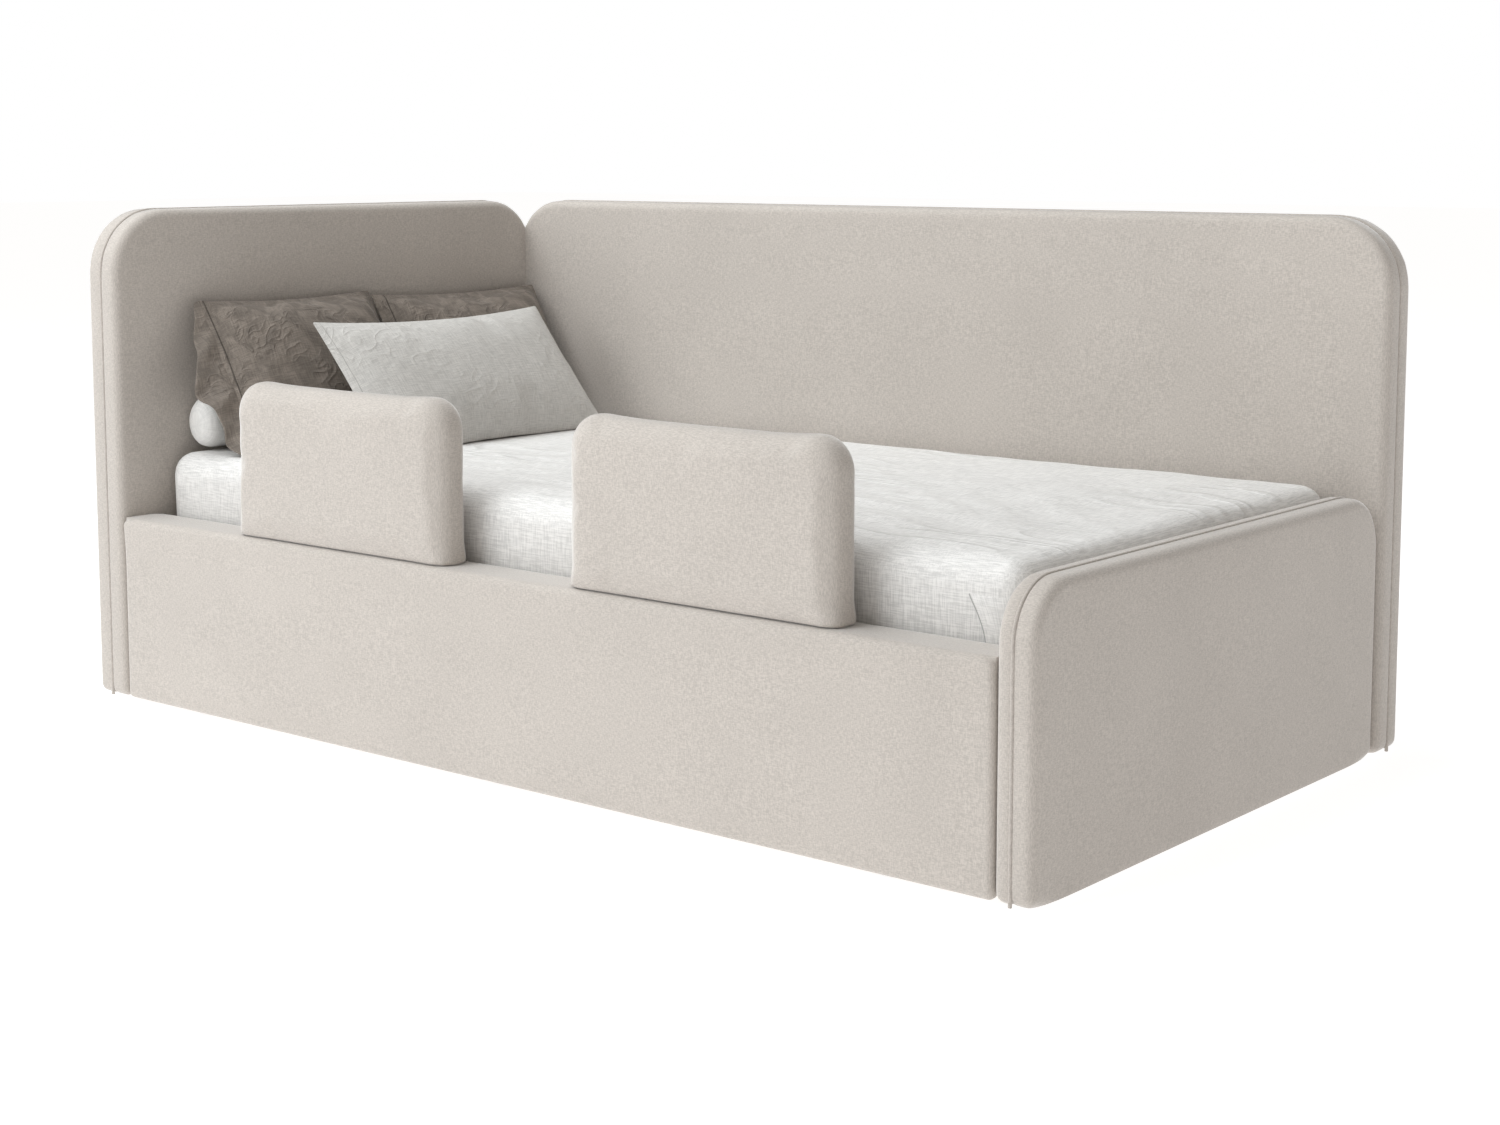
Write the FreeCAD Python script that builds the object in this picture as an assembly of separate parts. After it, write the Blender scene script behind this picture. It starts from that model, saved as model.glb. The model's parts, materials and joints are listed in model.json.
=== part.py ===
import FreeCAD, Part
import math
import os

Vector = FreeCAD.Vector

# A toddler bed: tall headboard, tall back panel, low footboard and a front rail, all upholstered,
# around a storage box. The mattress lies on a slatted platform that lifts on a pair of four-bar hinges.
# Everything is laid out in bench coordinates, in millimetres: x runs from the headboard's outer face to
# the foot, y from the front face to the back, z up from the floor. store() moves each finished piece so
# that the origin is the middle of the bed's footprint, on the floor.

# mattress and the room it has
mattress_length = 1600.0
mattress_width = 810.0
mattress_height = 150.0
mattress_edge_radius = 28.0
mattress_stand_off = 0.5
cover_thickness = 3.0
head_gap = 5.0
foot_gap = 10.0
side_gap = 7.0

# upholstered panels
panel_height = 769.0
footboard_height = 382.0
rail_above_frame = 65.0       # how far the front rail stands above the platform frame
headboard_thickness = 78.0
back_thickness = 78.0
footboard_inner_half = 28.0
footboard_outer_half = 34.0
rail_thickness = 74.0
panel_corner_radius = 100.0
footboard_corner_radius = 75.0
panel_edge_radius = 24.0
footboard_edge_radius = 19.0
corner_bite = 26.0            # how far headboard and back panel press into each other's foam
core_thickness = 16.0
core_inset = 14.0
piping_radius = 2.5
piping_proud = 1.2
pad_floor_gap = 5.0
glide_height = 8.0
glide_radius = 7.5

# front rail and storage box
rail_foam_front = 24.0
rail_foam_top = 18.0
rail_edge_radius = 20.0
rail_back_edge_radius = 6.0
board_thickness = 18.0
batten_height = 40.0
ledger_reach = 18.0           # how far the ledger stands out behind the upholstered rail
ledger_height = 40.0
bottom_board_thickness = 6.0
bearer_height = 14.0
bearer_width = 30.0
bearer_count = 4
glide_reach = 60.0            # of the glides, from a panel's end
angle_leg = 45.0
angle_width = 60.0
angle_thickness = 2.5
angle_stand_off = 10.0
angle_screw_share = 0.65      # place of a screw along the leg

# guards that stand on the front rail
guard_length = 466.0
guard_height = 239.0
guard_corner_radius = 52.0
guard_edge_radius = 22.0
guard_front_set_back = 3.0
guard_back_set_back = 5.0
guard_spacing = 675.5
guard_centre_shift = 27.0     # the pair stands this far towards the foot of the bed
guard_core_inset = 16.0
guard_core_thickness = 15.0
guard_core_lift = 4.0
guard_stand_off = 0.3
tongue_width = 30.0
tongue_thickness = 4.0
tongue_depth = 46.0
tongue_rise = 92.0
tongue_spacing = 300.0
tongue_play = 0.5
tongue_end_play = 2.0

# platform
frame_tube = 30.0
frame_wall = 1.5
frame_bottom = 196.0
frame_end_inset = 8.0
frame_side_gap = 5.0
slat_count = 12
slat_width = 55.0
slat_thickness = 8.0
holder_wall = 3.0
holder_floor = 1.5
holder_length = 36.0
grip_pad_length = 80.0
grip_pad_margin = 2.0
strap_width = 30.0
strap_thickness = 2.0
strap_below_top = 20.0
strap_slope = 18.0

# lift hinge, pivots as (from the headboard's inner face, height above the floor)
crank_base = (480.0, 60.0)
crank_tip = (112.0, frame_bottom - 46.0)
link_base = (344.1, 118.4)
link_tip = (60.0, frame_bottom - 16.0)
strut_base = (274.6, 40.0)
strut_tip = (40.0, frame_bottom - 29.9)
strut_stroke = 60.0
plate_head_margin = 20.0
plate_foot_margin = 40.0
plate_corner_radius = 12.0
plate_top_gap = 8.0
plate_bottom_gap = 1.0
bracket_head = 22.0
bracket_foot = 320.0
bracket_edge = 14.0
bracket_below_pin = 18.0
bracket_before_pin = 16.0
bracket_past_pin = 38.0
plate_thickness = 3.0
arm_thickness = 5.0
bracket_thickness = 4.0
layer_gap = 1.0
arm_half_width = 12.0
pin_radius = 5.0
pin_head_radius = 8.0
pin_head_height = 2.2
pin_end_play = 0.2
running_play = 0.05
link_tip_play = 1.6
strut_tip_play = 2.2
stud_radius = 4.0
strut_body_radius = 9.0
strut_bore_radius = 7.0
strut_rod_radius = 4.0
strut_layer = 12.0            # centre of the gas spring, past the crank's inner face
strut_eye_radius = 9.0
strut_eye_half = 5.0
strut_stud_end = 2.0
strut_neck = 12.0             # from the eye's centre to the cylinder's end
strut_body_length = 150.0
strut_cap = 8.0
strut_reserve = 4.0           # of the piston's travel, past the stroke
piston_length = 8.0
cross_tube_radius = 10.0
cross_tube_wall = 1.5
cross_tube_along = 0.35       # share of the crank's length, from its base pivot
bolt_head_radius = 5.5
bolt_head_height = 2.5
bolt_high = 150.0
bolt_low = 52.0
bolt_head_side = 80.0         # of the bolts, from the crank's pivot
bolt_foot_side = 20.0

# pillows
pillow_width = 392.0
pillow_height = 275.0
pillow_thickness = 80.0
pillow_lean = 30.0
pillow_roundness = 0.46       # edge radius, as a share of the thickness
pillow_spacing = 5.0
front_pillow_width = 505.0
front_pillow_height = 270.0
front_pillow_thickness = 100.0
front_pillow_lean = 40.0
front_pillow_from_head = 220.0
front_pillow_from_back = 366.0
bolster_radius = 39.5
bolster_end_radius = 27.5
bolster_length = 490.0
bolster_from_rail = 38.0
pillow_play = 1.0

# places worked out from the sizes above
inner_head = headboard_thickness
inner_length = head_gap + mattress_length + foot_gap
inner_foot = inner_head + inner_length
total_length = inner_foot + footboard_inner_half + footboard_outer_half
rail_back = rail_thickness
back_face = rail_back + side_gap + mattress_width + side_gap
total_depth = back_face + back_thickness
frame_top = frame_bottom + frame_tube
rail_height = frame_top + rail_above_frame
slat_bottom = frame_top + holder_floor
mattress_bottom = slat_bottom + slat_thickness + mattress_stand_off
mattress_top = mattress_bottom + mattress_height
platform_middle = (rail_back + back_face) / 2
head_seam = headboard_thickness / 2
back_seam = back_face + back_thickness / 2
foot_seam = inner_foot + footboard_inner_half
board_front = rail_foam_front
board_back = board_front + board_thickness
board_top = rail_height - rail_foam_top
frame_front = rail_back + frame_side_gap
frame_back = back_face - frame_side_gap
frame_head = inner_head + head_gap + frame_end_inset
frame_foot = inner_foot - foot_gap - frame_end_inset
bottom_board_z = glide_height + bearer_height
box_floor = bottom_board_z + bottom_board_thickness
ledger_face = rail_back + ledger_reach
guard_thickness = rail_thickness - guard_front_set_back - guard_back_set_back
guard_middles = [total_length / 2 + guard_centre_shift + side * guard_spacing / 2 for side in (-1, 1)]
guard_core_front = guard_front_set_back + (guard_thickness - guard_core_thickness) / 2
plate_back = ledger_face + plate_thickness
link_layer = plate_back + layer_gap
bracket_layer = link_layer + arm_thickness + layer_gap
bracket_back = bracket_layer + bracket_thickness
crank_layer = bracket_back + layer_gap
crank_back = crank_layer + arm_thickness
strut_middle = crank_back + strut_layer
back_board_front = 2 * platform_middle - ledger_face


def store(shape, name):
    placed = shape.copy()
    placed.translate(Vector(-total_length / 2, -total_depth / 2, 0))
    placed.exportStep("parts/" + name + ".step")
    print(name, len(placed.Solids), round(placed.Volume))


def box(x0, x1, y0, y1, z0, z1):
    return Part.makeBox(x1 - x0, y1 - y0, z1 - z0, Vector(x0, y0, z0))


def rod(start, end, radius):
    return Part.makeCylinder(radius, (end - start).Length, start, end - start)


def join(shapes):
    return shapes[0] if len(shapes) == 1 else shapes[0].multiFuse(shapes[1:]).removeSplitter()


def group(shapes):
    return Part.makeCompound(shapes)


def fillet(shape, radius, keep):
    edges = [edge for edge in shape.Edges if keep(edge)]
    return shape.makeFillet(radius, edges)


def lies(edge, axis, value):
    """True where the whole edge lies in the plane axis = value."""
    low = getattr(edge.BoundBox, axis + "Min")
    high = getattr(edge.BoundBox, axis + "Max")
    return abs(low - value) < 0.01 and abs(high - value) < 0.01


def in_plane(normal, level, across, height):
    """A point from its place across a panel and its height; normal is the panel's thickness axis."""
    return Vector(level, across, height) if normal == "x" else Vector(across, level, height)


def arch_edges(normal, level, low, high, bottom, top, radius):
    """Left side, rounded corner, top, rounded corner and right side of a panel, in that order."""
    def at(across, height):
        return in_plane(normal, level, across, height)
    turn = radius * (1 - math.sqrt(0.5))
    return [
        Part.makeLine(at(low, bottom), at(low, top - radius)),
        Part.Arc(at(low, top - radius), at(low + turn, top - turn), at(low + radius, top)).toShape(),
        Part.makeLine(at(low + radius, top), at(high - radius, top)),
        Part.Arc(at(high - radius, top), at(high - turn, top - turn), at(high, top - radius)).toShape(),
        Part.makeLine(at(high, top - radius), at(high, bottom)),
    ]


def slab(normal, start, end, low, high, bottom, top, radius):
    """A panel with rounded top corners, between two levels of its thickness axis."""
    edges = arch_edges(normal, start, low, high, bottom, top, radius)
    edges.append(Part.makeLine(in_plane(normal, start, high, bottom), in_plane(normal, start, low, bottom)))
    step = in_plane(normal, end - start, 0, 0)
    return Part.Face(Part.Wire(edges)).extrude(step)


def piping(normal, level, low, high, top, radius):
    """A round cord that runs up one side of the panel, over its top and down the other side."""
    inset = piping_radius - piping_proud
    path = Part.Wire(arch_edges(normal, level, low + inset, high - inset, pad_floor_gap, top - inset,
                                radius - inset))
    start = in_plane(normal, level, low + inset, pad_floor_gap)
    ring = Part.Wire(Part.makeCircle(piping_radius, start, Vector(0, 0, 1)))
    return path.makePipeShell([ring], True, False)


def upholstered(name, normal, inner_face, seam, outer_face, low, high, top, radius, edge_radius,
                pressed_by=()):
    """A core board between two pads that meet at a piped seam; neighbours may press into the pads."""
    def pad(face):
        whole = slab(normal, seam, face, low, high, pad_floor_gap, top, radius)
        return fillet(whole, edge_radius, lambda edge: lies(edge, normal.upper(), face)
                      and edge.BoundBox.ZMax > pad_floor_gap + 1)
    half = core_thickness / 2
    core = slab(normal, seam - half, seam + half, low + core_inset, high - core_inset, glide_height,
                top - core_inset, radius - core_inset)
    pocket = slab(normal, seam - half, seam + half, low + core_inset, high - core_inset, 0,
                  top - core_inset, radius - core_inset)
    cord = piping(normal, seam, low, high, top, radius)
    for side, face in (("inner", inner_face), ("outer", outer_face)):
        cushion = pad(face).cut(pocket).cut(cord)
        for neighbour in pressed_by:
            cushion = cushion.cut(neighbour)
        store(cushion, name + "_" + side + "_pad")
    store(core, name + "_core")
    store(cord, name + "_piping")


def make_panels():
    headboard_end = back_face + corner_bite
    upholstered("headboard", "x", inner_head, head_seam, 0, 0, headboard_end, panel_height,
                panel_corner_radius, panel_edge_radius)
    headboard_room = box(0, inner_head, 0, headboard_end, 0, panel_height)
    footboard_cord = piping("x", foot_seam, 0, back_face, footboard_height, footboard_corner_radius)
    upholstered("back_panel", "y", back_face, back_seam, total_depth, inner_head - corner_bite,
                total_length, panel_height, panel_corner_radius, panel_edge_radius,
                [headboard_room, footboard_cord])
    upholstered("footboard", "x", inner_foot, foot_seam, total_length, 0, back_face,
                footboard_height, footboard_corner_radius, footboard_edge_radius)


def tongue_middles(guard_middle):
    return [guard_middle + side * tongue_spacing / 2 for side in (-1, 1)]


def tongue_box(middle, play, bottom, top):
    back = guard_core_front + guard_core_thickness
    return box(middle - tongue_width / 2 - play, middle + tongue_width / 2 + play,
               back - play, back + tongue_thickness + play, bottom, top)


def make_front_rail():
    length = (inner_head, inner_foot)
    slots = [tongue_box(middle, tongue_play, rail_height - tongue_depth - tongue_end_play, rail_height + 1)
             for guard_middle in guard_middles for middle in tongue_middles(guard_middle)]
    board = box(*length, board_front, board_back, glide_height, board_top)
    store(board, "front_rail_board")
    batten = box(*length, board_back, rail_back, board_top - batten_height, board_top)
    store(batten.cut(group(slots)), "front_rail_batten")
    front = box(*length, 0, rail_foam_front, pad_floor_gap, rail_height)
    cap = box(*length, rail_foam_front, rail_back, board_top, rail_height)
    pad = join([front, cap])
    pad = fillet(pad, rail_edge_radius,
                 lambda edge: lies(edge, "Y", 0) and edge.BoundBox.ZMax > pad_floor_gap + 1)
    pad = fillet(pad, rail_back_edge_radius,
                 lambda edge: lies(edge, "Y", rail_back) and lies(edge, "Z", rail_height))
    store(pad.cut(group(slots)), "front_rail_pad")


def mirrored(shape):
    """The same piece on the other side of the platform's middle line."""
    return shape.mirror(Vector(0, platform_middle, 0), Vector(0, 1, 0))


def make_storage_box():
    length = (inner_head, inner_foot)
    block_head, block_foot = base_plate_ends()
    store(box(*length, board_back, ledger_face, frame_bottom - ledger_height, frame_bottom),
          "front_ledger")
    store(box(block_head, block_foot, board_back, ledger_face, box_floor, frame_bottom - ledger_height),
          "front_hinge_block")
    store(box(*length, back_board_front, back_face, glide_height, frame_bottom), "back_rail_board")
    store(box(*length, board_back, back_board_front, bottom_board_z, box_floor), "storage_bottom")
    step = inner_length / bearer_count
    bearers = []
    for number in range(bearer_count):
        middle = inner_head + step * (number + 0.5)
        bearers.append(box(middle - bearer_width / 2, middle + bearer_width / 2, board_back,
                           back_board_front, glide_height, bottom_board_z))
    store(group(bearers), "bottom_bearers")


def make_glides():
    spots = [(head_seam, glide_reach), (head_seam, back_face - glide_reach),
             (foot_seam, glide_reach), (foot_seam, back_face - glide_reach),
             (inner_head + glide_reach, back_seam), (total_length / 2, back_seam),
             (total_length - glide_reach, back_seam)]
    rail_middle = (board_front + board_back) / 2
    spots += [(inner_head + share * inner_length, rail_middle) for share in (0.1, 0.5, 0.9)]
    glides = [rod(Vector(x, y, 0), Vector(x, y, glide_height), glide_radius) for x, y in spots]
    store(group(glides), "floor_glides")


def corner_angle(x, y, turn_x, turn_y):
    """A folded steel angle in a corner of the storage box, with its two screws."""
    bottom = box_floor + angle_stand_off
    top = bottom + angle_width

    def leg(reach_x, reach_y):
        far_x = x + turn_x * reach_x
        far_y = y + turn_y * reach_y
        return box(min(x, far_x), max(x, far_x), min(y, far_y), max(y, far_y), bottom, top)

    angle = join([leg(angle_leg, angle_thickness), leg(angle_thickness, angle_leg)])
    out = angle_leg * angle_screw_share
    screws = []
    for share in (0.25, 0.75):
        height = bottom + share * angle_width
        inside = Vector(x + turn_x * out, y + turn_y * angle_thickness, height)
        screws.append(rod(inside, inside + Vector(0, turn_y * bolt_head_height, 0), bolt_head_radius))
        inside = Vector(x + turn_x * angle_thickness, y + turn_y * out, height)
        screws.append(rod(inside, inside + Vector(turn_x * bolt_head_height, 0, 0), bolt_head_radius))
    return angle, screws


def make_corner_angles():
    corners = [(inner_head, board_back, 1, 1), (inner_foot, board_back, -1, 1),
               (inner_head, back_board_front, 1, -1), (inner_foot, back_board_front, -1, -1)]
    angles = []
    screws = []
    for corner in corners:
        angle, heads = corner_angle(*corner)
        angles.append(angle)
        screws += heads
    store(group(angles), "corner_angles")
    store(group(screws), "corner_screws")


def make_guard(name, middle):
    low, high = middle - guard_length / 2, middle + guard_length / 2
    bottom = rail_height + guard_stand_off
    top = bottom + guard_height
    front, back = guard_front_set_back, guard_front_set_back + guard_thickness
    cushion = slab("y", front, back, low, high, bottom, top, guard_corner_radius)
    cushion = fillet(cushion, guard_edge_radius, lambda edge: edge.BoundBox.ZMax > bottom + 1
                     and (lies(edge, "Y", front) or lies(edge, "Y", back)))

    def board(lift):
        return slab("y", guard_core_front, guard_core_front + guard_core_thickness,
                    low + guard_core_inset, high - guard_core_inset, bottom + lift,
                    top - guard_core_inset, guard_corner_radius - guard_core_inset)

    pocket = board(-1)
    tongues = group([tongue_box(place, 0, rail_height - tongue_depth, bottom + tongue_rise)
                     for place in tongue_middles(middle)])
    store(board(guard_core_lift), name + "_core")
    store(tongues, name + "_tongues")
    store(cushion.cut(pocket).cut(tongues), name + "_cushion")


def make_mattress():
    def block(inset):
        body = box(inner_head + head_gap + inset, inner_head + head_gap + mattress_length - inset,
                   rail_back + side_gap + inset, back_face - side_gap - inset,
                   mattress_bottom + inset, mattress_top - inset)
        return body.makeFillet(mattress_edge_radius - inset, body.Edges)
    foam = block(cover_thickness)
    store(foam, "mattress_foam")
    store(block(0).cut(foam), "mattress_cover")


def square_tube(x0, x1, y0, y1):
    outer = box(x0, x1, y0, y1, frame_bottom, frame_top)
    if x1 - x0 > y1 - y0:
        inner = box(x0, x1, y0 + frame_wall, y1 - frame_wall, frame_bottom + frame_wall,
                    frame_top - frame_wall)
    else:
        inner = box(x0 + frame_wall, x1 - frame_wall, y0, y1, frame_bottom + frame_wall,
                    frame_top - frame_wall)
    return outer.cut(inner)


def slat_middles():
    first = frame_head + frame_tube + slat_width
    last = frame_foot - frame_tube - slat_width
    step = (last - first) / (slat_count - 1)
    return [first + step * number for number in range(slat_count)]


def make_platform():
    front_tube = square_tube(frame_head, frame_foot, frame_front, frame_front + frame_tube)
    cross = [square_tube(x, x + frame_tube, frame_front + frame_tube, frame_back - frame_tube)
             for x in (frame_head, (frame_head + frame_foot - frame_tube) / 2, frame_foot - frame_tube)]
    store(join([front_tube, mirrored(front_tube)] + cross), "platform_frame")

    slat_front = frame_front + holder_wall
    slat_back = frame_back - holder_wall
    slats = []
    holders = []
    for middle in slat_middles():
        low, high = middle - slat_width / 2, middle + slat_width / 2
        slat = box(low, high, slat_front, slat_back, slat_bottom, slat_bottom + slat_thickness)
        slats.append(slat)
        cup = box(low - holder_wall, high + holder_wall, frame_front, frame_front + holder_length,
                  frame_top, slat_bottom + slat_thickness)
        cup = cup.cut(slat)
        holders += [cup, mirrored(cup)]
    store(group(slats), "slats")
    store(group(holders), "slat_holders")

    pads = []
    for x in (frame_head, frame_foot - frame_tube):
        for share in (0.2, 0.5, 0.8):
            middle = frame_front + share * (frame_back - frame_front)
            pads.append(box(x + grip_pad_margin, x + frame_tube - grip_pad_margin,
                            middle - grip_pad_length / 2, middle + grip_pad_length / 2, frame_top,
                            mattress_bottom))
    store(group(pads), "grip_pads")


def make_lift_strap():
    """A webbing loop: up the frame's end, out past the mattress's edge and up its side."""
    out = inner_foot - foot_gap + strap_thickness
    bend = frame_top + strap_thickness
    path = [(frame_foot, frame_bottom + strap_thickness), (frame_foot, bend), (out, bend + strap_slope),
            (out, mattress_top - strap_below_top)]
    back = [(x + strap_thickness, height - (0 if number in (0, 3) else strap_thickness / 2))
            for number, (x, height) in enumerate(path)]
    loop = [Vector(x, platform_middle - strap_width / 2, height) for x, height in path + back[::-1]]
    strap = Part.Face(Part.makePolygon(loop + loop[:1])).extrude(Vector(0, strap_width, 0))
    store(strap, "lift_strap")


def pivot(place, y):
    return Vector(inner_head + place[0], y, place[1])


def base_plate_ends():
    return inner_head + strut_base[0] - plate_head_margin, inner_head + crank_base[0] + plate_foot_margin


def bar(start, end, y, hole_start, hole_end):
    """A flat bar with round ends, arm_thickness thick from y, with a hole at each pivot."""
    a, b = pivot(start, y), pivot(end, y)
    along = (b - a).normalize()
    side = Vector(-along.z, 0, along.x) * arm_half_width
    thick = Vector(0, arm_thickness, 0)
    outline = Part.makePolygon([a + side, b + side, b - side, a - side, a + side])
    body = join([Part.Face(outline).extrude(thick), rod(a, a + thick, arm_half_width),
                 rod(b, b + thick, arm_half_width)])
    return body.cut(rod(a, a + thick, hole_start)).cut(rod(b, b + thick, hole_end))


def riveted_pin(place, face, tip):
    """A pin through an arm: its head lies just off the arm's face, its shank runs to the tip."""
    away = 1 if face > tip else -1
    near = face + away * pin_end_play
    head = rod(pivot(place, near), pivot(place, near + away * pin_head_height), pin_head_radius)
    return join([head, rod(pivot(place, near), pivot(place, tip), pin_radius)])


def stud(place, foot):
    """A ball stud for a gas spring's eye."""
    tip = strut_middle + strut_eye_half + strut_stud_end
    return rod(pivot(place, foot), pivot(place, tip), stud_radius)


def make_lift_hinges():
    head, foot = base_plate_ends()
    plate = box(head, foot, ledger_face, plate_back, box_floor + plate_bottom_gap,
                frame_bottom - plate_top_gap)
    plate = fillet(plate, plate_corner_radius,
                   lambda edge: edge.BoundBox.XLength < 0.01 and edge.BoundBox.ZLength < 0.01)
    base_pins = group([riveted_pin(crank_base, crank_back, ledger_face),
                       riveted_pin(link_base, link_layer + arm_thickness, ledger_face),
                       stud(strut_base, ledger_face)])
    plate = plate.cut(base_pins)

    low = crank_tip[1] - bracket_below_pin
    corners = [(bracket_head, frame_bottom), (bracket_foot, frame_bottom),
               (bracket_foot, frame_bottom - bracket_edge), (crank_tip[0] + bracket_past_pin, low),
               (crank_tip[0] - bracket_before_pin, low), (bracket_head, crank_tip[1]),
               (bracket_head, frame_bottom)]
    bracket = Part.Face(Part.makePolygon([pivot(corner, bracket_layer) for corner in corners]))
    bracket = bracket.extrude(Vector(0, bracket_thickness, 0))
    bracket_pins = group([riveted_pin(crank_tip, crank_back, bracket_layer),
                          riveted_pin(link_tip, link_layer, bracket_back),
                          stud(strut_tip, bracket_layer)])
    bracket = bracket.cut(bracket_pins)

    crank = bar(crank_base, crank_tip, crank_layer, pin_radius + running_play, pin_radius + running_play)
    link = bar(link_base, link_tip, link_layer, pin_radius + running_play, pin_radius + link_tip_play)

    spots = [(crank_base[0] - bolt_head_side, bolt_high), (crank_base[0] + bolt_foot_side, bolt_high),
             (crank_base[0] - bolt_head_side, bolt_low)]
    bolts = group([rod(pivot(spot, plate_back), pivot(spot, plate_back + bolt_head_height),
                       bolt_head_radius) for spot in spots])

    store(plate, "front_base_plate")
    store(mirrored(plate), "back_base_plate")
    store(group([base_pins, mirrored(base_pins)]), "base_plate_pins")
    store(group([bolts, mirrored(bolts)]), "base_plate_bolts")
    store(bracket, "front_platform_bracket")
    store(mirrored(bracket), "back_platform_bracket")
    store(group([bracket_pins, mirrored(bracket_pins)]), "platform_bracket_pins")
    store(link, "front_rear_link")
    store(mirrored(link), "back_rear_link")
    store(crank, "front_crank_arm")
    store(mirrored(crank), "back_crank_arm")

    spot = [crank_base[axis] + cross_tube_along * (crank_tip[axis] - crank_base[axis]) for axis in (0, 1)]
    near = pivot(spot, crank_back)
    far = pivot(spot, 2 * platform_middle - crank_back)
    tube = rod(near, far, cross_tube_radius).cut(rod(near, far, cross_tube_radius - cross_tube_wall))
    store(tube, "crank_cross_tube")


def make_gas_springs():
    start, end = pivot(strut_base, strut_middle), pivot(strut_tip, strut_middle)
    length = (end - start).Length
    along = (end - start).normalize()
    body_end = strut_neck + strut_body_length

    def at(distance):
        return start + along * distance

    def eye(middle, radius):
        half = Vector(0, strut_eye_half, 0)
        return rod(middle - half, middle + half, radius)

    neck = rod(start, at(strut_neck + strut_cap / 2), strut_rod_radius)
    shell = rod(at(strut_neck), at(body_end), strut_body_radius)
    cylinder = join([eye(start, strut_eye_radius), neck, shell])
    cylinder = cylinder.cut(eye(start, stud_radius + running_play))
    cylinder = cylinder.cut(rod(at(strut_neck + strut_cap), at(body_end - strut_cap), strut_bore_radius))
    cylinder = cylinder.cut(rod(at(body_end - strut_cap), at(body_end), strut_rod_radius + running_play))

    piston_end = body_end - strut_cap - strut_stroke - strut_reserve
    piston = rod(at(piston_end - piston_length), at(piston_end), strut_bore_radius - running_play)
    shaft = join([rod(at(piston_end), end, strut_rod_radius), eye(end, strut_eye_radius + strut_tip_play),
                  piston])
    shaft = shaft.cut(eye(end, stud_radius + strut_tip_play))
    for side, change in (("front", lambda shape: shape), ("back", mirrored)):
        store(change(cylinder), side + "_gas_cylinder")
        store(change(shaft), side + "_gas_rod")
    print("gas spring", round(length, 2), [round(value, 6) for value in along])


def pillow(width, height, thickness, lean, x, y_middle):
    """A leaning pillow that stands on the mattress, with its middle at x and y_middle."""
    radius = thickness * pillow_roundness
    tilt = math.radians(lean)
    reach = (height / 2 - radius) * math.cos(tilt) + (thickness / 2 - radius) * math.sin(tilt) + radius
    body = box(-thickness / 2, thickness / 2, -width / 2, width / 2, -height / 2, height / 2)
    body = body.makeFillet(radius, body.Edges)
    body.rotate(Vector(0, 0, 0), Vector(0, 1, 0), -lean)
    body.translate(Vector(x, y_middle, mattress_top + pillow_play + reach))
    return body


def make_pillows():
    radius = pillow_thickness * pillow_roundness
    tilt = math.radians(pillow_lean)
    depth = ((pillow_height / 2 - radius) * math.sin(tilt) + (pillow_thickness / 2 - radius)
             * math.cos(tilt) + radius)
    x = inner_head + pillow_play + depth
    half = pillow_width / 2
    right = back_face - side_gap - half
    left = right - pillow_width - pillow_spacing
    for name, middle in (("pillow_left", left), ("pillow_right", right)):
        store(pillow(pillow_width, pillow_height, pillow_thickness, pillow_lean, x, middle), name)
    store(pillow(front_pillow_width, front_pillow_height, front_pillow_thickness, front_pillow_lean,
                 inner_head + front_pillow_from_head, back_face - front_pillow_from_back), "pillow_front")
    centre_x = inner_head + pillow_play + bolster_radius
    centre_z = mattress_top + pillow_play + bolster_radius
    low = rail_back + bolster_from_rail
    high = low + bolster_length
    bolster = rod(Vector(centre_x, low, centre_z), Vector(centre_x, high, centre_z), bolster_radius)
    bolster = fillet(bolster, bolster_end_radius,
                     lambda edge: lies(edge, "Y", low) or lies(edge, "Y", high))
    store(bolster, "bolster_pillow")


os.makedirs("parts", exist_ok=True)
make_panels()
make_front_rail()
make_storage_box()
make_glides()
make_corner_angles()
for guard_number, guard_place in enumerate(guard_middles, 1):
    make_guard("guard_" + str(guard_number), guard_place)
make_mattress()
make_platform()
make_lift_strap()
make_lift_hinges()
make_gas_springs()
make_pillows()
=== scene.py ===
import bmesh
import bpy
import json
import math
from mathutils import Matrix, Vector, noise


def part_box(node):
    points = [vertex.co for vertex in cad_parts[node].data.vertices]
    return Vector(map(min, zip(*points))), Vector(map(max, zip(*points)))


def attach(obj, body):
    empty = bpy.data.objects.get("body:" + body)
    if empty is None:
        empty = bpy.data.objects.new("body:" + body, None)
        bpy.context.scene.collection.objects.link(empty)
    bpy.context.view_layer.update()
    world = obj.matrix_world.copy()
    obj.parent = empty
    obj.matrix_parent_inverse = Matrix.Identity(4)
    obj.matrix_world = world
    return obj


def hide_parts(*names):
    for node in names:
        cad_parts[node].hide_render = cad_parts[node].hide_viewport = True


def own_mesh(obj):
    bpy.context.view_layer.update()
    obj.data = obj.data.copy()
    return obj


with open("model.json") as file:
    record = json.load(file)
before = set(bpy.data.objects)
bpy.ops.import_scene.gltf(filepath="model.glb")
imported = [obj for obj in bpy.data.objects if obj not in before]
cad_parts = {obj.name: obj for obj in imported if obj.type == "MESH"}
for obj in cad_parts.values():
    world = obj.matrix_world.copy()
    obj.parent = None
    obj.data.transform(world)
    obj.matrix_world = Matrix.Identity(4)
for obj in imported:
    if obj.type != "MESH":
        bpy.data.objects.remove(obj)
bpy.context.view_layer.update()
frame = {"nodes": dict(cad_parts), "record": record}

# All lengths are in metres. A point this near a plane counts as in it
planeReach = 1e-4
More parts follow.
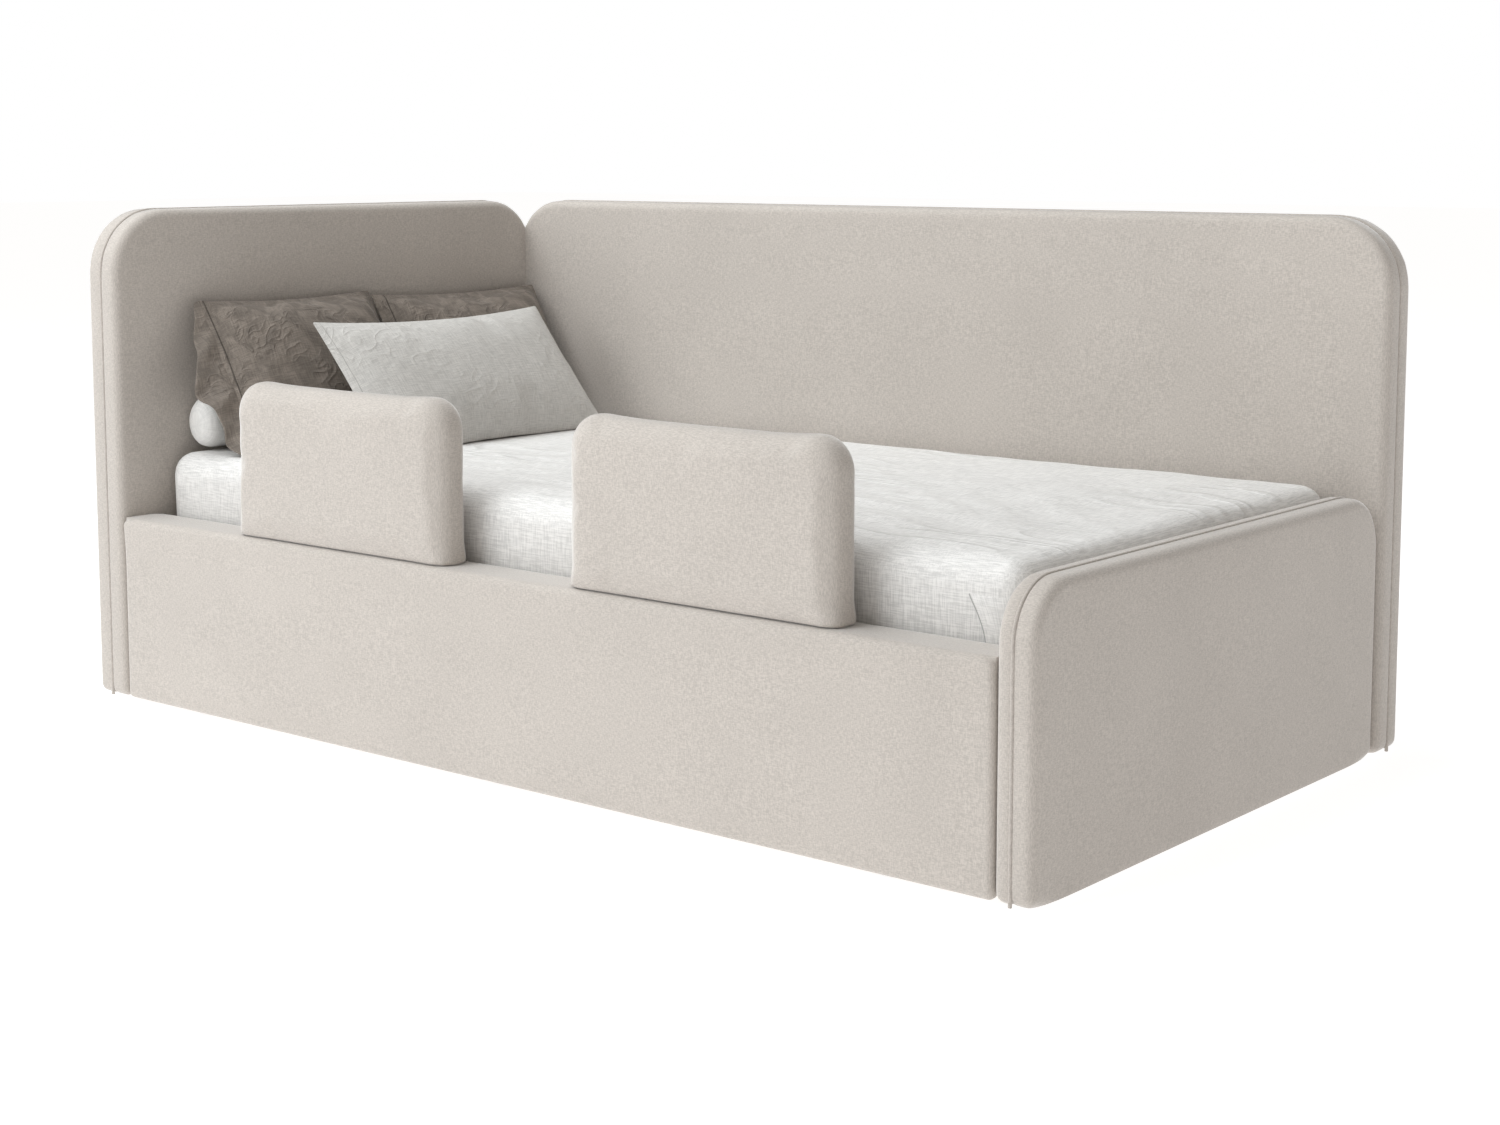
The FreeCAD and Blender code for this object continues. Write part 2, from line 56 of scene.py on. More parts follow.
# An edge that rises less than this above the underside belongs to the underside
underReach = 1e-3

cameraSettings = {"place": (2.2698, -2.7055, 0.8664), "turn": 39.173, "dip": 6.395, "lens": 56.93,
                  "shiftY": -0.10, "farthest": 60}


def addCamera(spec):
    turn = (math.radians(90 - spec["dip"]), 0, math.radians(spec["turn"]))
    bpy.ops.object.camera_add(location=spec["place"], rotation=turn)
    camera = bpy.context.object
    camera.data.lens = spec["lens"]
    camera.data.shift_y = spec["shiftY"]
    camera.data.clip_end = spec["farthest"]
    bpy.context.scene.camera = camera


def deselectAll():
    if bpy.context.mode != "OBJECT":
        bpy.ops.object.mode_set(mode="OBJECT")
    bpy.ops.object.select_all(action="DESELECT")


def pick(piece):
    deselectAll()
    piece.select_set(True)
    bpy.context.view_layer.objects.active = piece


def addBlock(name, low, high):
    deselectAll()
    size = Vector(high) - Vector(low)
    middle = (Vector(high) + Vector(low)) / 2
    bpy.ops.mesh.primitive_cube_add(size=1, location=middle, scale=size)
    bpy.ops.object.transform_apply(location=True, rotation=False, scale=True)
    piece = bpy.context.object
    piece.name = name
    piece.data.name = name
    return piece


def addGrid(name, columns, rows):
    deselectAll()
    bpy.ops.mesh.primitive_grid_add(x_subdivisions=columns, y_subdivisions=rows, size=1)
    piece = bpy.context.object
    piece.name = name
    return piece


# Opens the piece for editing with nothing selected
def startSelection(piece, kind):
    pick(piece)
    bpy.ops.object.mode_set(mode="EDIT")
    bpy.ops.mesh.select_mode(type=kind)
    bpy.ops.mesh.select_all(action="DESELECT")
    return bmesh.from_edit_mesh(piece.data)


def selectEdges(piece, test):
    mesh = startSelection(piece, "EDGE")
    for edge in mesh.edges:
        if test(edge.verts[0].co, edge.verts[1].co):
            edge.select_set(True)
    bmesh.update_edit_mesh(piece.data)


def selectFaces(piece, test):
    mesh = startSelection(piece, "FACE")
    mesh.normal_update()
    for face in mesh.faces:
        if test(face.calc_center_median(), face.normal):
            face.select_set(True)
    bmesh.update_edit_mesh(piece.data)


# True where both ends of an edge lie in the plane at that level
def inPlane(a, b, axis, level):
    return abs(a[axis] - level) < planeReach and abs(b[axis] - level) < planeReach


def bevelEdges(piece, test, radius, segments):
    selectEdges(piece, test)
    bpy.ops.mesh.bevel(offset=radius, segments=segments, profile=0.5, clamp_overlap=True)
    bpy.ops.object.mode_set(mode="OBJECT")


# Even cuts through the whole piece, so that it can be shaped
def cutAcross(piece, axis, step, low, high):
    pick(piece)
    bpy.ops.object.mode_set(mode="EDIT")
    count = max(1, round((high - low) / step))
    normal = Vector((0, 0, 0))
    normal[axis] = 1
    for number in range(1, count):
        spot = Vector((0, 0, 0))
        spot[axis] = low + (high - low) * number / count
        bpy.ops.mesh.select_all(action="SELECT")
        bpy.ops.mesh.bisect(plane_co=spot, plane_no=normal)
    bpy.ops.object.mode_set(mode="OBJECT")


def applyModifier(piece, kind, **values):
    pick(piece)
    modifier = piece.modifiers.new(kind.title(), kind)
    for key, value in values.items():
        setattr(modifier, key, value)
    bpy.ops.object.modifier_apply(modifier=modifier.name)


def subdivide(piece):
    applyModifier(piece, "SUBSURF", levels=1, render_levels=1)


# Puts each point's place on the flat cloth in the piece's UV map
def layCloth(piece, spots):
    layer = piece.data.uv_layers.active.data
    for loop in piece.data.loops:
        layer[loop.index].uv = spots[loop.vertex_index]


# Keeps a value between 0 and 1
def clamp(value):
    return min(1.0, max(0.0, value))


# 0 at both ends of 0..1, 1 over most of the middle
def bump(t):
    return 1 - (2 * clamp(t) - 1) ** 4


# A move that is no longer than the limit
def capped(move, limit):
    return move.normalized() * limit if move.length > limit else move


def finishPiece(piece, material, body, replaced=()):
    piece.data.materials.clear()
    piece.data.materials.append(material)
    pick(piece)
    bpy.ops.object.shade_smooth()
    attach(piece, body)
    if replaced:
        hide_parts(*replaced)
    print("finished", piece.name, len(piece.data.polygons))
    deselectAll()


def newGroup(name, inputs, outputs):
    group = bpy.data.node_groups.new(name, "ShaderNodeTree")
    kinds = {"f": "NodeSocketFloat", "v": "NodeSocketVector"}
    for label, kind in inputs:
        group.interface.new_socket(name=label, in_out="INPUT", socket_type=kinds[kind])
    for label, kind in outputs:
        group.interface.new_socket(name=label, in_out="OUTPUT", socket_type=kinds[kind])
    entry = group.nodes.new("NodeGroupInput")
    leave = group.nodes.new("NodeGroupOutput")
    return group, entry, leave


# Links each socket to its source, or gives it a plain value
def fillInputs(tree, node, sources):
    for socket, source in sources.items():
        if hasattr(source, "is_output"):
            tree.links.new(source, node.inputs[socket])
        else:
            node.inputs[socket].default_value = source


def addNode(tree, kind, sources=None, **values):
    node = tree.nodes.new(kind)
    for key, value in values.items():
        setattr(node, key, value)
    fillInputs(tree, node, sources or {})
    return node


def mathNode(tree, operation, *values):
    return addNode(tree, "ShaderNodeMath", dict(enumerate(values)), operation=operation).outputs[0]


def clampNode(tree, value):
    return addNode(tree, "ShaderNodeClamp", {0: value}).outputs[0]


def vectorNode(tree, operation, sources):
    return addNode(tree, "ShaderNodeVectorMath", sources, operation=operation).outputs[0]


def noiseNode(tree, vector, scale, detail, roughness=0.5, distortion=0.0):
    return addNode(tree, "ShaderNodeTexNoise",
                   {"Vector": vector, "Scale": scale, "Detail": detail, "Roughness": roughness,
                    "Distortion": distortion})


def multiplyColours(tree, first, second):
    return addNode(tree, "ShaderNodeMix", {0: 1.0, 6: first, 7: second}, data_type="RGBA",
                   blend_type="MULTIPLY").outputs[2]


# Slubby threads that cross on a flat side, whichever way it faces
def makeThreads():
    group, entry, leave = newGroup("threads", [("Vector", "v"), ("Facing", "v"), ("Along", "f"),
                                               ("Across", "f")], [("Streaks", "f")])
    away = vectorNode(group, "ABSOLUTE", {0: entry.outputs["Facing"]})
    split = addNode(group, "ShaderNodeSeparateXYZ", {0: away})
    total = None
    parts = None
    for axis in range(3):
        joined = addNode(group, "ShaderNodeCombineXYZ")
        for other in range(3):
            source = "Along" if other == axis else "Across"
            group.links.new(entry.outputs[source], joined.inputs[other])
        scaled = vectorNode(group, "MULTIPLY", {0: entry.outputs["Vector"], 1: joined.outputs[0]})
        grain = noiseNode(group, scaled, 1.0, 2.0, 0.55)
        part = mathNode(group, "SUBTRACT", 1.0, split.outputs[axis])
        value = mathNode(group, "MULTIPLY", grain.outputs["Fac"], part)
        total = value if total is None else mathNode(group, "ADD", total, value)
        parts = part if parts is None else mathNode(group, "ADD", parts, part)
    group.links.new(mathNode(group, "DIVIDE", total, parts), leave.inputs["Streaks"])
    return group


# The crossing bumps of a plain weave, Pitch metres apart, with uneven threads
def makeWeave():
    group, entry, leave = newGroup("weave", [("Vector", "v"), ("Pitch", "f")], [("Height", "f")])
    wander = noiseNode(group, entry.outputs["Vector"], 90.0, 1.0)
    shift = vectorNode(group, "SCALE", {0: wander.outputs["Color"], 3: 0.0016})
    moved = vectorNode(group, "ADD", {0: entry.outputs["Vector"], 1: shift})
    turns = mathNode(group, "DIVIDE", 2 * math.pi, entry.outputs["Pitch"])
    scaled = vectorNode(group, "SCALE", {0: moved, 3: turns})
    split = addNode(group, "ShaderNodeSeparateXYZ", {0: scaled})
    waves = [mathNode(group, "SINE", split.outputs[axis]) for axis in range(3)]
    total = mathNode(group, "ADD", mathNode(group, "ADD", waves[0], waves[1]), waves[2])
    group.links.new(mathNode(group, "MULTIPLY_ADD", total, 0.16, 0.5), leave.inputs["Height"])
    return group


# Broad soft marks, as where the nap of a cloth has been stroked
def makeClouds():
    group, entry, leave = newGroup("clouds", [("Vector", "v"), ("Scale", "f"), ("Sharpness", "f")],
                                   [("Mask", "f")])
    clouds = noiseNode(group, entry.outputs["Vector"], entry.outputs["Scale"], 3.0, 0.5, 0.7)
    away = mathNode(group, "SUBTRACT", clouds.outputs["Fac"], 0.5)
    strong = mathNode(group, "MULTIPLY_ADD", away, entry.outputs["Sharpness"], 0.5)
    group.links.new(clampNode(group, strong), leave.inputs["Mask"])
    return group


# Soft creased ridges, in patches, as in washed linen
def makeCreases():
    group, entry, leave = newGroup("creases", [("Vector", "v"), ("Stretch", "v"), ("Scale", "f")],
                                   [("Height", "f")])
    scaled = vectorNode(group, "MULTIPLY",
                        {0: entry.outputs["Vector"], 1: entry.outputs["Stretch"]})
    field = noiseNode(group, scaled, entry.outputs["Scale"], 1.0, 0.4, 1.4)
    away = mathNode(group, "ABSOLUTE", mathNode(group, "SUBTRACT", field.outputs["Fac"], 0.5))
    steep = mathNode(group, "MULTIPLY", away, 7.0)
    kept = clampNode(group, mathNode(group, "SUBTRACT", 1.0, steep))
    patchScale = mathNode(group, "MULTIPLY", entry.outputs["Scale"], 0.45)
    patches = noiseNode(group, entry.outputs["Vector"], patchScale, 0.0)
    strong = mathNode(group, "MULTIPLY_ADD", patches.outputs["Fac"], 5.0, -2.0)
    total = mathNode(group, "MULTIPLY", mathNode(group, "MULTIPLY", kept, kept),
                     clampNode(group, strong))
    group.links.new(total, leave.inputs["Height"])
    return group


# A thin line across the cloth, where the first coordinate is Place: a sunk groove whose darkening
# is painted shade
def makeHemLine():
    group, entry, leave = newGroup("groove shade line", [("Vector", "v"), ("Place", "f"), ("Width", "f")],
                                   [("Mask", "f")])
    split = addNode(group, "ShaderNodeSeparateXYZ", {0: entry.outputs["Vector"]})
    offset = mathNode(group, "SUBTRACT", split.outputs[0], entry.outputs["Place"])
    away = mathNode(group, "DIVIDE", mathNode(group, "ABSOLUTE", offset), entry.outputs["Width"])
    group.links.new(clampNode(group, mathNode(group, "SUBTRACT", 1.0, away)), leave.inputs["Mask"])
    return group


# Long fibres along the axis that Stretch scales least, with slow bands, as in sawn timber
def makeGrain():
    group, entry, leave = newGroup("grain", [("Vector", "v"), ("Stretch", "v"), ("Rings", "f")],
                                   [("Fibre", "f"), ("Band", "f")])
    scaled = vectorNode(group, "MULTIPLY",
                        {0: entry.outputs["Vector"], 1: entry.outputs["Stretch"]})
    fibre = noiseNode(group, scaled, 8.0, 6.0, 0.65, 0.4)
    rings = addNode(group, "ShaderNodeTexWave",
                    {"Vector": scaled, "Scale": entry.outputs["Rings"], "Distortion": 5.0,
                     "Detail": 3.0, "Detail Scale": 1.2})
    group.links.new(fibre.outputs["Fac"], leave.inputs["Fibre"])
    group.links.new(rings.outputs["Fac"], leave.inputs["Band"])
    return group


# Fine uneven marks and dust for hard surfaces
def makeGrime():
    group, entry, leave = newGroup("grime", [("Vector", "v"), ("Scale", "f")], [("Mask", "f")])
    coarse = noiseNode(group, entry.outputs["Vector"], entry.outputs["Scale"], 5.0)
    fine = noiseNode(group, entry.outputs["Vector"], 900.0, 2.0)
    total = mathNode(group, "MULTIPLY_ADD", fine.outputs["Fac"], 0.4,
                     mathNode(group, "MULTIPLY", coarse.outputs["Fac"], 0.6))
    group.links.new(total, leave.inputs["Mask"])
    return group


groups = {"threads": makeThreads(), "weave": makeWeave(), "clouds": makeClouds(),
          "creases": makeCreases(), "grooveShadeLine": makeHemLine(), "grain": makeGrain(),
          "grime": makeGrime()}


def useGroup(tree, name, **sources):
    node = addNode(tree, "ShaderNodeGroup", node_tree=groups[name])
    fillInputs(tree, node, sources)
    return node


def newMaterial(name):
    material = bpy.data.materials.new(name)
    material.use_nodes = True
    tree = material.node_tree
    return material, tree, tree.nodes["Principled BSDF"]


def shade(colour, factor):
    return tuple(channel * factor for channel in colour) + (1.0,)


def colourRamp(tree, factor, stops):
    ramp = tree.nodes.new("ShaderNodeValToRGB")
    tree.links.new(factor, ramp.inputs[0])
    while len(ramp.color_ramp.elements) < len(stops):
        ramp.color_ramp.elements.new(0.5)
    for element, (place, colour) in zip(ramp.color_ramp.elements, stops):
        element.position = place
        element.color = colour
    return ramp.outputs[0]


# Colour, a roughness that swings about its middle with the pattern, and a bump
def linkSurface(tree, shader, tone, pattern, roughness, swing, height, strength, distance):
    dent = addNode(tree, "ShaderNodeBump",
                   {"Strength": strength, "Distance": distance, "Height": height})
    rough = mathNode(tree, "MULTIPLY_ADD", pattern, swing, roughness - swing / 2)
    fillInputs(tree, shader, {"Base Color": tone, "Roughness": rough, "Normal": dent.outputs[0]})


white = (1.0, 1.0, 1.0)


# Cloth with slubby threads, broad marks and a woven surface. coords is Object or UV
def clothMaterial(name, colour, spec):
    material, tree, shader = newMaterial(name)
    source = addNode(tree, "ShaderNodeTexCoord")
    coords = source.outputs[spec.get("coords", "Object")]
    facing = (0, 0, 1) if "coords" in spec else source.outputs["Normal"]
    streaks = useGroup(tree, "threads", Vector=coords, Facing=facing, Along=spec["along"],
                       Across=spec["across"]).outputs[0]
    marks = useGroup(tree, "clouds", Vector=coords, Scale=spec["markScale"],
                     Sharpness=spec["markSharpness"]).outputs[0]
    weave = useGroup(tree, "weave", Vector=coords, Pitch=spec["pitch"]).outputs[0]
    deep = spec["streakDepth"]
    thread = colourRamp(tree, streaks, [(0.40, shade(colour, 1 - deep)), (0.5, shade(colour, 1.0)),
                                        (0.60, shade(colour, 1 + deep))])
    mark = colourRamp(tree, marks, [(0.0, shade(white, 1 - spec["markDepth"])),
                                    (1.0, shade(white, 1.0))])
    tone = multiplyColours(tree, thread, mark)
    relief = mathNode(tree, "ADD", mathNode(tree, "MULTIPLY", weave, 0.5), streaks)
    if "creases" in spec:
        scale, stretch, depth = spec["creases"]
        creases = useGroup(tree, "creases", Vector=coords, Stretch=stretch, Scale=scale).outputs[0]
        if "coords" not in spec:  # only where the cloth lies flat, not down the sides
            upward = addNode(tree, "ShaderNodeSeparateXYZ", {0: facing}).outputs[2]
            flat = mathNode(tree, "MULTIPLY_ADD", upward, 2.0, -0.9)
            creases = mathNode(tree, "MULTIPLY", creases, clampNode(tree, flat))
        relief = mathNode(tree, "ADD", relief, mathNode(tree, "MULTIPLY", creases, depth))
    # A sunk line whose darkening is painted shade, along a seam or under a flap's free edge
    if "grooveShade" in spec:
        place, width, kept = spec["grooveShade"]
        grooveShade = useGroup(tree, "grooveShadeLine", Vector=coords, Place=place, Width=width).outputs[0]
        dark = colourRamp(tree, grooveShade, [(0.0, shade(white, 1.0)), (0.7, shade(white, kept))])
        tone = multiplyColours(tree, tone, dark)
        relief = mathNode(tree, "SUBTRACT", relief, mathNode(tree, "MULTIPLY", grooveShade, 1.5))
    linkSurface(tree, shader, tone, streaks, spec["roughness"], -0.25, relief, spec["relief"],
                0.0006)
    fillInputs(tree, shader, {"Sheen Weight": spec["sheen"], "Sheen Roughness": 0.35,
                              "Specular IOR Level": 0.2})
    return material


velourSettings = {"along": 190.0, "across": 900.0, "markScale": 4.5, "markSharpness": 2.2,
                  "pitch": 0.0012, "streakDepth": 0.13, "markDepth": 0.06, "roughness": 0.9,
                  "relief": 0.3, "sheen": 1.0}
linenSettings = {"along": 45.0, "across": 640.0, "markScale": 9.0, "markSharpness": 2.0,
                 "pitch": 0.0014, "streakDepth": 0.14, "markDepth": 0.05, "roughness": 0.88,
                 "relief": 0.5, "sheen": 0.12}
# creases are scale, stretch and depth. A groove shade is place, width and the share of colour it
# keeps, a line of painted shade
mattressLinenSettings = dict(linenSettings, creases=(6.0, (0.5, 1.7, 1.0), 12.0))
# The corner flap's free edge gets a line of painted shadow for the gap beneath it
cornerLinenSettings = dict(linenSettings, coords="UV", grooveShade=(0.001, 0.0024, 0.50))
# The dark pillows get a line of painted shade near their left seam
darkLinenSettings = dict(linenSettings, coords="UV", markScale=30.0, markSharpness=3.6,
                         markDepth=0.32, streakDepth=0.20, grooveShade=(-0.186, 0.0022, 0.40),
                         creases=(30.0, (1, 1, 1), 5.0))
# The front pillow gets a faint line of painted shade near its seam
lightLinenSettings = dict(linenSettings, coords="UV", grooveShade=(-0.2665, 0.0012, 0.75),
                          markScale=14.0, markDepth=0.07, creases=(16.0, (1, 1, 1), 2.6))
whiteCottonSettings = dict(linenSettings, coords="UV", streakDepth=0.08)
webbingSettings = dict(linenSettings, pitch=0.0022, relief=1.0)
foamSettings = dict(velourSettings, along=500.0, sheen=0)

velour = clothMaterial("velour", (0.548, 0.504, 0.463), velourSettings)
# The piping is the velour darkened a little, painted shade for the dark line of the seam it sits in
shadedPipingCloth = clothMaterial("shaded piping cloth", (0.515, 0.472, 0.433), velourSettings)
mattressLinen = clothMaterial("mattress linen", (0.79, 0.78, 0.765), mattressLinenSettings)
cornerLinen = clothMaterial("corner linen", (0.79, 0.78, 0.765), cornerLinenSettings)
darkLinen = clothMaterial("dark linen", (0.262, 0.226, 0.195), darkLinenSettings)
lightLinen = clothMaterial("light linen", (0.60, 0.585, 0.56), lightLinenSettings)
whiteCotton = clothMaterial("white cotton", (0.78, 0.77, 0.75), whiteCottonSettings)
print("cloths made")


panelSettings = {
    "seamRoll": (0.004, 2), "bottomRoll": (0.008, 3), "bottomCorner": (0.014, 4),
    "cornerSegments": 9, "edgeSegments": 5,
    "cutStep": 0.032, "crown": 0.004, "faceDepth": 0.03, "waveHeight": 0.0012, "waveSize": 0.16,
    "waveBias": 0.4,
}


# One padded half of a panel. side is the axis of its thickness and the way its face looks
def panelHalf(name, node, side, cornerRadius, edgeRadius, spec):
    axis, way = side
    low, high = (Vector(corner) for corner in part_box(node))
    across = 1 - axis
    faceLevel, seamLevel = (high[axis], low[axis]) if way > 0 else (low[axis], high[axis])
    ends = (low[across], high[across])
    piece = addBlock(name, low, high)
    bevelEdges(piece, lambda a, b: inPlane(a, b, 2, high.z)
               and any(inPlane(a, b, across, end) for end in ends),
               cornerRadius, spec["cornerSegments"])
    for end in ends:
        bevelEdges(piece, lambda a, b: inPlane(a, b, 2, low.z) and inPlane(a, b, across, end),
                   *spec["bottomCorner"])
    bevelEdges(piece, lambda a, b: inPlane(a, b, axis, faceLevel)
               and max(a.z, b.z) > low.z + underReach, edgeRadius, spec["edgeSegments"])
    bevelEdges(piece, lambda a, b: inPlane(a, b, axis, seamLevel), *spec["seamRoll"])
    bevelEdges(piece, lambda a, b: inPlane(a, b, 2, low.z), *spec["bottomRoll"])
    cutAcross(piece, across, spec["cutStep"], low[across], high[across])
    cutAcross(piece, 2, spec["cutStep"], low.z, high.z)
    shapeFace(piece, axis, across, faceLevel, way, low, high, spec)
    subdivide(piece)
    return piece


# Lets the face fall away to its rim, and gives it the slight unevenness of foam under cloth
def shapeFace(piece, axis, across, faceLevel, way, low, high, spec):
    for vertex in piece.data.vertices:
        near = 1 - min(1.0, abs(vertex.co[axis] - faceLevel) / spec["faceDepth"])
        if near <= 0:
            continue
        u = (vertex.co[across] - low[across]) / (high[across] - low[across])
        v = (vertex.co.z - low.z) / (high.z - low.z)
        full = bump(u) * bump(v)
        wave = noise.noise(vertex.co / spec["waveSize"]) - spec["waveBias"]
        fall = spec["crown"] * (1 - full) - spec["waveHeight"] * wave * full
        vertex.co[axis] -= way * near * fall


def makePanels():
    jobs = [("headboardInner", "headboard_inner_pad", (0, 1), 0.100, 0.024),
            ("headboardOuter", "headboard_outer_pad", (0, -1), 0.100, 0.024),
            ("backPanelInner", "back_panel_inner_pad", (1, -1), 0.100, 0.024),
            ("backPanelOuter", "back_panel_outer_pad", (1, 1), 0.100, 0.024),
            ("footboardInner", "footboard_inner_pad", (0, -1), 0.075, 0.019),
            ("footboardOuter", "footboard_outer_pad", (0, 1), 0.075, 0.024)]
    for name, node, side, cornerRadius, edgeRadius in jobs:
        piece = panelHalf(name, node, side, cornerRadius, edgeRadius, panelSettings)
        finishPiece(piece, velour, "root", [node])


railSettings = {
    "foamFront": 0.024, "foamTop": 0.018, "frontRoll": (0.018, 5), "endRoll": (0.004, 2),
    "endPress": 0.002, "backRoll": (0.006, 3), "bottomRoll": (0.008, 3), "cutStep": 0.034,
    "crown": 0.002, "faceDepth": 0.012, "faceTop": 0.03, "tongueWidth": 0.030,
    "slotPlay": 0.0006, "slotReach": 0.01,
}


def makeRail(spec):
    low, high = (Vector(corner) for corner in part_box("front_rail_pad"))
    low.x -= spec["endPress"]
    high.x += spec["endPress"]
    foamBack = low.y + spec["foamFront"]
    foamUnder = high.z - spec["foamTop"]
    piece = addBlock("frontRail", low, (high.x, foamBack, high.z))
    pick(piece)
    bpy.ops.object.mode_set(mode="EDIT")
    bpy.ops.mesh.select_all(action="SELECT")
    bpy.ops.mesh.bisect(plane_co=(0, 0, foamUnder), plane_no=(0, 0, 1))
    selectFaces(piece, lambda centre, normal: normal.y > 0.9 and centre.z > foamUnder)
    bpy.ops.mesh.extrude_region_move(TRANSFORM_OT_translate={"value": (0, high.y - foamBack, 0)})
    bpy.ops.object.mode_set(mode="OBJECT")
    bevelEdges(piece, lambda a, b: inPlane(a, b, 1, low.y) and max(a.z, b.z) > low.z + underReach,
               *spec["frontRoll"])
    bevelEdges(piece, lambda a, b: inPlane(a, b, 1, high.y) and inPlane(a, b, 2, high.z),
               *spec["backRoll"])
    for end in (low.x, high.x):
        bevelEdges(piece, lambda a, b: inPlane(a, b, 0, end) and inPlane(a, b, 2, high.z),
                   *spec["endRoll"])
    bevelEdges(piece, lambda a, b: inPlane(a, b, 2, low.z), *spec["bottomRoll"])
    cutAcross(piece, 0, spec["cutStep"], low.x, high.x)
    cutAcross(piece, 2, spec["cutStep"], low.z, foamUnder)
    for vertex in piece.data.vertices:
        onFace = vertex.co.y < low.y + spec["faceDepth"]
        if onFace and vertex.co.z < high.z - spec["faceTop"]:
            u = (vertex.co.x - low.x) / (high.x - low.x)
            v = (vertex.co.z - low.z) / (high.z - low.z)
            full = bump(u) * bump(v)
            wave = noise.noise(vertex.co / panelSettings["waveSize"]) - panelSettings["waveBias"]
            vertex.co.y += spec["crown"] * (1 - full) - panelSettings["waveHeight"] * wave * full
    subdivide(piece)
    for number in (1, 2):
        tongueLow, tongueHigh = (Vector(corner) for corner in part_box("guard_%d_tongues" % number))
        for start in (tongueLow.x, tongueHigh.x - spec["tongueWidth"]):
            slotLow = Vector((start, tongueLow.y, foamUnder - spec["slotReach"]))
            slotHigh = Vector((start + spec["tongueWidth"], tongueHigh.y,
                               high.z + spec["slotReach"]))
            cutSlot(piece, slotLow, slotHigh, spec["slotPlay"])
    finishPiece(piece, velour, "root", ["front_rail_pad"])


# An opening that a guard's tongue slides through
def cutSlot(piece, low, high, play):
    room = Vector((play, play, 0))
    cutter = addBlock("slotCutter", low - room, high + room)
    applyModifier(piece, "BOOLEAN", operation="DIFFERENCE", solver="EXACT", object=cutter)
    bpy.data.objects.remove(cutter, do_unlink=True)


clothSettings = {"quality": 5, "mass": 0.25, "shearDivide": 3, "bending": 0.3}


# Blows the piece up as cloth, with no weight, and keeps the shape of the last frame
def runCloth(piece, spec):
    pick(piece)
    cloth = piece.modifiers.new("Cloth", "CLOTH")
    cloth.settings.quality = clothSettings["quality"]
    cloth.settings.mass = clothSettings["mass"]
    cloth.settings.use_pressure = True
    cloth.settings.uniform_pressure_force = spec["pressure"]
    cloth.settings.tension_stiffness = spec["stiffness"]
    cloth.settings.compression_stiffness = spec["stiffness"]
    cloth.settings.shear_stiffness = spec["stiffness"] / clothSettings["shearDivide"]
    cloth.settings.bending_stiffness = clothSettings["bending"]
    cloth.settings.effector_weights.gravity = 0
    cloth.collision_settings.use_self_collision = False
    cloth.point_cache.frame_start = 1
    cloth.point_cache.frame_end = spec["frames"]
    for number in range(1, spec["frames"] + 1):
        bpy.context.scene.frame_set(number)
    bpy.ops.object.modifier_apply(modifier=cloth.name)
    bpy.context.scene.frame_set(1)


guardSettings = {"cornerRoll": (0.048, 10), "edgeRoll": (0.024, 6), "bottomRoll": (0.002, 2),
                 "start": 0.0045, "voxel": 0.006, "pressure": 4.0, "stiffness": 15, "frames": 20,
                 "cap": 0.007, "heldHeight": 0.03, "heldShare": 0.35}


def makeGuard(number, spec):
    node = "guard_%d_cushion" % number
    low, high = (Vector(corner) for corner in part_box(node))
    inset = Vector((spec["start"], spec["start"], 0))
    top = high.z - spec["start"]
    piece = addBlock("guard%dCushion" % number, low + inset,
                     high - inset - Vector((0, 0, spec["start"])))
    bevelEdges(piece, lambda a, b: inPlane(a, b, 2, top) and abs(a.x - b.x) < planeReach,
               *spec["cornerRoll"])
    for level in (low.y + inset.y, high.y - inset.y):
        bevelEdges(piece, lambda a, b: inPlane(a, b, 1, level)
                   and max(a.z, b.z) > low.z + underReach, *spec["edgeRoll"])
    bevelEdges(piece, lambda a, b: max(a.z, b.z) < low.z + planeReach, *spec["bottomRoll"])
    applyModifier(piece, "REMESH", mode="VOXEL", voxel_size=spec["voxel"])
    start = [vertex.co.copy() for vertex in piece.data.vertices]
    runCloth(piece, spec)
    for vertex, before in zip(piece.data.vertices, start):
        move = capped(vertex.co - before, spec["cap"])
        free = clamp((before.z - low.z) / spec["heldHeight"])
        wide = spec["heldShare"] + (1 - spec["heldShare"]) * free
        vertex.co = before + Vector((move.x * wide, move.y * wide, move.z * free))
        vertex.co.z = max(vertex.co.z, low.z)
    subdivide(piece)
    finishPiece(piece, velour, "guard_%d" % number, [node])


mattressSettings = {
    "topRoll": (0.034, 5), "bottomRoll": (0.020, 3), "uprightLength": 0.1,
    "cutStep": 0.016, "foldHeight": 0.0060, "lift": 0.0008,
    "underGap": 0.0012, "topDepth": 0.035, "topFade": 0.03, "rimFade": 0.05, "rimFold": 0.3,
    "sideReach": 0.02, "sideWave": 0.002, "sideScale": (9, 9, 14), "sideBias": 0.1,
    "wander": 0.02, "wanderScale": 5, "ridgeSharpness": 2.4,
}
mattressFolds = [
    {"turn": 6, "along": 2.6, "across": 17, "seed": 3, "place": (0.56, 0.14), "reach": 0.26,
     "height": 1.3},
    {"turn": -28, "along": 2.8, "across": 12, "seed": 8, "place": (1.34, 0.20), "reach": 0.30,
     "height": 1.0},
    {"turn": 72, "along": 2.2, "across": 9, "seed": 5, "place": (1.42, 0.58), "reach": 0.32,
     "height": 1.0},
    {"turn": 20, "along": 1.8, "across": 7, "seed": 14, "place": (0.95, 0.45), "reach": 0.60,
     "height": 0.5},
]


